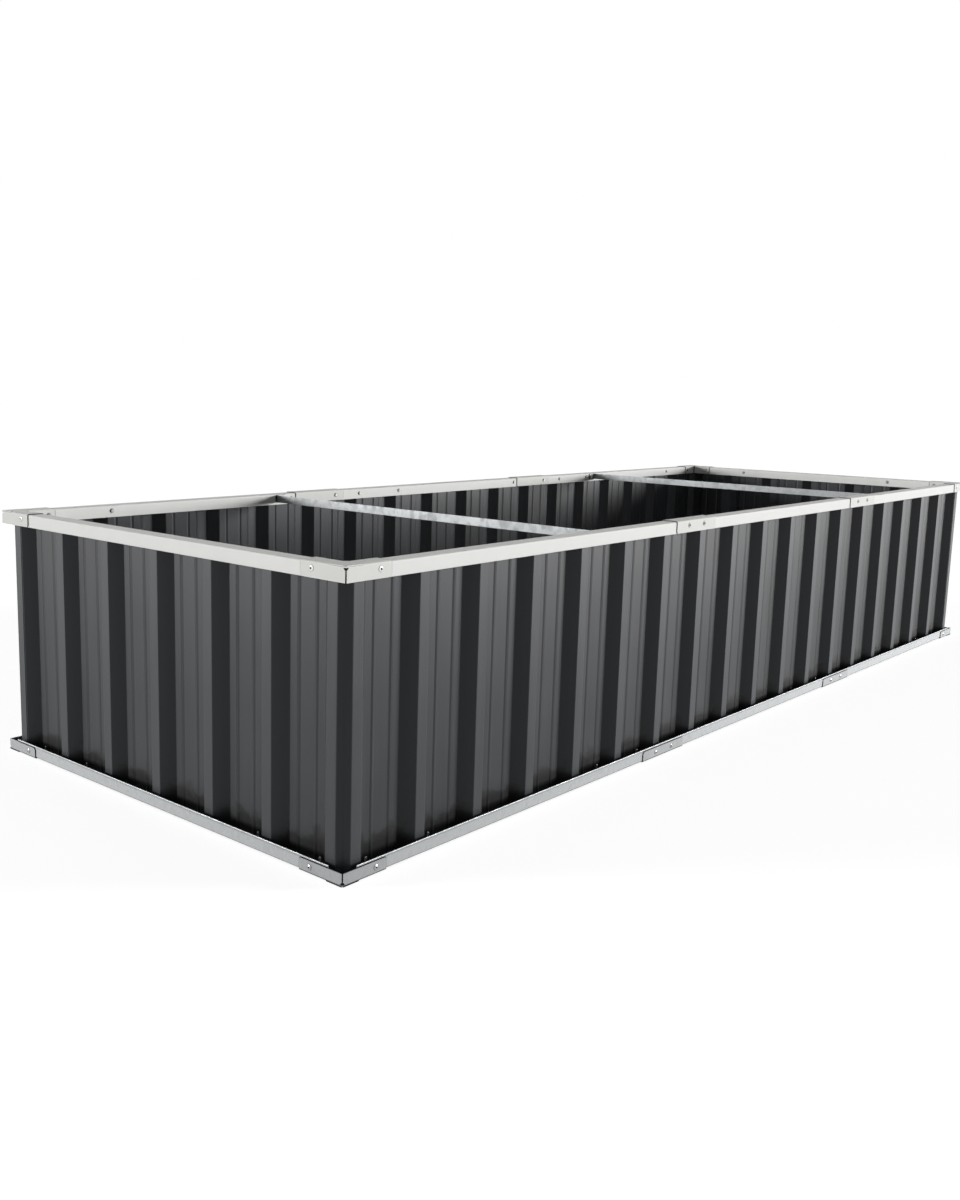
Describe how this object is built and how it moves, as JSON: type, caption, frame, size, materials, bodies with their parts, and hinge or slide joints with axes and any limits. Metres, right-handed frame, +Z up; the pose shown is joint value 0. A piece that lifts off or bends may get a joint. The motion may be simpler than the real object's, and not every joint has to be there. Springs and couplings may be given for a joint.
{
  "type": "raised garden bed",
  "caption": "Long open-bottomed raised garden bed: dark corrugated steel walls with bevelled corners, held in pale rails along the top and the ground.",
  "frame": {"origin": "on the ground, at the middle of the bed", "axes": "+X along the long walls, +Y from the front wall to the back wall, +Z up"},
  "size_m": [2.569, 0.907, 0.457],
  "materials": {
    "corrugated_sheet": "matte dark grey coating",
    "post_sheet": "matte dark grey coating",
    "top_rail_paint": "satin off-white coating",
    "top_joint_paint": "satin off-white coating",
    "bottom_rail_zinc": "galvanised, matte",
    "bottom_joint_zinc": "galvanised, slightly mottled",
    "tie_steel": "galvanised, matte",
    "screw_steel": "zinc plated",
    "rivet_steel": "zinc plated"
  },
  "bodies": {
    "root": {"back_bottom_rail_left": "bottom_rail_zinc", "back_bottom_rail_middle": "bottom_rail_zinc", "back_bottom_rail_right": "bottom_rail_zinc", "back_bottom_splice_1": "bottom_joint_zinc", "back_bottom_splice_2": "bottom_joint_zinc", "back_left_bottom_bracket": "bottom_joint_zinc", "back_left_post": "post_sheet", "back_left_top_bracket": "top_joint_paint", "back_panel_left": "corrugated_sheet", "back_panel_middle": "corrugated_sheet", "back_panel_right": "corrugated_sheet", "back_right_bottom_bracket": "bottom_joint_zinc", "back_right_post": "post_sheet", "back_right_top_bracket": "top_joint_paint", "back_top_rail_left": "top_rail_paint", "back_top_rail_middle": "top_rail_paint", "back_top_rail_right": "top_rail_paint", "back_top_splice_1": "top_joint_paint", "back_top_splice_2": "top_joint_paint", "bottom_corner_screws": "screw_steel", "bottom_joint_nuts": "screw_steel", "bottom_joint_rivets": "rivet_steel", "bottom_panel_rivets": "rivet_steel", "bottom_splice_screws": "screw_steel", "cross_tie_left": "tie_steel", "cross_tie_right": "tie_steel", "front_bottom_rail_left": "bottom_rail_zinc", "front_bottom_rail_middle": "bottom_rail_zinc", "front_bottom_rail_right": "bottom_rail_zinc", "front_bottom_splice_1": "bottom_joint_zinc", "front_bottom_splice_2": "bottom_joint_zinc", "front_left_bottom_bracket": "bottom_joint_zinc", "front_left_post": "post_sheet", "front_left_top_bracket": "top_joint_paint", "front_panel_left": "corrugated_sheet", "front_panel_middle": "corrugated_sheet", "front_panel_right": "corrugated_sheet", "front_right_bottom_bracket": "bottom_joint_zinc", "front_right_post": "post_sheet", "front_right_top_bracket": "top_joint_paint", "front_top_rail_left": "top_rail_paint", "front_top_rail_middle": "top_rail_paint", "front_top_rail_right": "top_rail_paint", "front_top_splice_1": "top_joint_paint", "front_top_splice_2": "top_joint_paint", "left_bottom_rail": "bottom_rail_zinc", "left_end_panel": "corrugated_sheet", "left_top_rail": "top_rail_paint", "right_bottom_rail": "bottom_rail_zinc", "right_end_panel": "corrugated_sheet", "right_top_rail": "top_rail_paint", "tie_nuts": "screw_steel", "tie_screws": "screw_steel", "top_corner_screws": "screw_steel", "top_joint_nuts": "screw_steel", "top_joint_rivets": "rivet_steel", "top_panel_rivets": "rivet_steel", "top_splice_screws": "screw_steel"}
  },
  "joints": []
}
